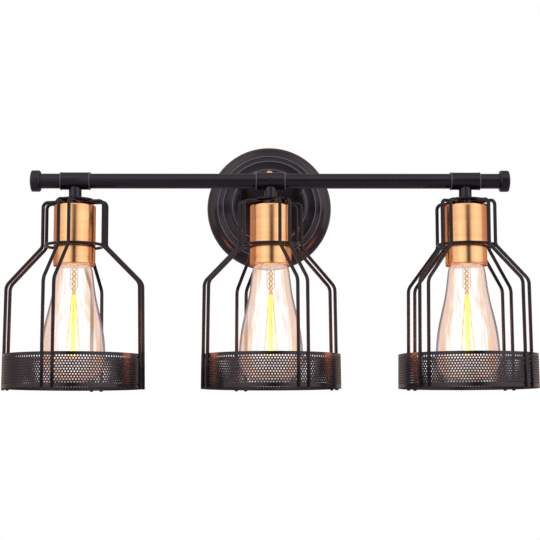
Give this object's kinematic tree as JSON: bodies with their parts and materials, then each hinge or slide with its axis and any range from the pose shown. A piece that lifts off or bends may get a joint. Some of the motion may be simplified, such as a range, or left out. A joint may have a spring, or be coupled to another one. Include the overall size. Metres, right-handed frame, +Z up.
{
  "type": "vanity light",
  "caption": "Wall vanity light with a stepped round canopy, a horizontal bar on two arms, and downward lamps in wire cages with perforated bands and brass socket cups.",
  "frame": {"origin": "centre of the round canopy on the wall plane, which is the back face of the bracket and of the canopy's rim", "axes": "+Z up, +Y into the wall, -Y into the room, +X along the bar to the right as seen from the room"},
  "size_m": [0.5311, 0.1769, 0.2622],
  "materials": {
    "black_steel": "satin black powder coat",
    "black_wire": "satin black powder coat on steel wire",
    "black_mesh": "satin black powder coat on perforated sheet",
    "zinc_steel": "bright zinc plated steel",
    "black_oxide": "black oxide steel",
    "green_screw": "green enamelled screw",
    "brass": "polished brass",
    "brushed_copper_brass": "finely turned brass with a copper tone, clear lacquered",
    "plain_brass": "plain stamped brass",
    "lamp_cap_brass": "rolled brass lamp cap",
    "porcelain": "glazed white porcelain",
    "clear_glass": "clear blown glass",
    "filament": "glowing yellow filament strand",
    "live_insulation": "black wire insulation",
    "neutral_insulation": "white wire insulation"
  },
  "bodies": {
    "root": {"canopy": "black_steel", "mounting_bracket": "zinc_steel", "bracket_studs": "zinc_steel", "cap_nuts": "brass", "ground_screw": "green_screw", "left_arm": "black_steel", "right_arm": "black_steel", "arm_nuts": "zinc_steel", "bar_tube": "black_steel", "left_end_cap": "black_steel", "right_end_cap": "black_steel", "collar_screws": "black_oxide", "nipple_nuts": "zinc_steel", "live_leads": "live_insulation", "neutral_leads": "neutral_insulation", "left_collar": "black_steel", "left_neck": "black_steel", "left_nipple": "zinc_steel", "left_socket_cup": "brushed_copper_brass", "left_lamp_holder": "porcelain", "left_screw_shell": "plain_brass", "left_centre_contact": "plain_brass", "middle_collar": "black_steel", "middle_neck": "black_steel", "middle_nipple": "zinc_steel", "middle_socket_cup": "brushed_copper_brass", "middle_lamp_holder": "porcelain", "middle_screw_shell": "plain_brass", "middle_centre_contact": "plain_brass", "right_collar": "black_steel", "right_neck": "black_steel", "right_nipple": "zinc_steel", "right_socket_cup": "brushed_copper_brass", "right_lamp_holder": "porcelain", "right_screw_shell": "plain_brass", "right_centre_contact": "plain_brass"},
    "left_cage": {"left_cage_plate": "black_steel", "left_cage_wires": "black_wire", "left_waist_ring": "black_wire", "left_mesh_band": "black_mesh"},
    "left_lamp": {"left_bulb_base": "lamp_cap_brass", "left_bulb_glass": "clear_glass", "left_bulb_stem": "clear_glass", "left_bulb_filament": "filament"},
    "middle_cage": {"middle_cage_plate": "black_steel", "middle_cage_wires": "black_wire", "middle_waist_ring": "black_wire", "middle_mesh_band": "black_mesh"},
    "middle_lamp": {"middle_bulb_base": "lamp_cap_brass", "middle_bulb_glass": "clear_glass", "middle_bulb_stem": "clear_glass", "middle_bulb_filament": "filament"},
    "right_cage": {"right_cage_plate": "black_steel", "right_cage_wires": "black_wire", "right_waist_ring": "black_wire", "right_mesh_band": "black_mesh"},
    "right_lamp": {"right_bulb_base": "lamp_cap_brass", "right_bulb_glass": "clear_glass", "right_bulb_stem": "clear_glass", "right_bulb_filament": "filament"}
  },
  "joints": [
    {"name": "left_cage_turn", "type": "hinge", "parent": "root", "child": "left_cage", "pos_m": [-0.195, -0.105, -0.008], "axis": [0, 0, 1], "continuous": true},
    {"name": "left_lamp_removal", "type": "slide", "parent": "root", "child": "left_lamp", "axis": [0, 0, -1], "range_m": [0, 0.16]},
    {"name": "middle_cage_turn", "type": "hinge", "parent": "root", "child": "middle_cage", "pos_m": [0, -0.105, -0.008], "axis": [0, 0, 1], "continuous": true},
    {"name": "middle_lamp_removal", "type": "slide", "parent": "root", "child": "middle_lamp", "axis": [0, 0, -1], "range_m": [0, 0.16]},
    {"name": "right_cage_turn", "type": "hinge", "parent": "root", "child": "right_cage", "pos_m": [0.195, -0.105, -0.008], "axis": [0, 0, 1], "continuous": true},
    {"name": "right_lamp_removal", "type": "slide", "parent": "root", "child": "right_lamp", "axis": [0, 0, -1], "range_m": [0, 0.16]}
  ]
}
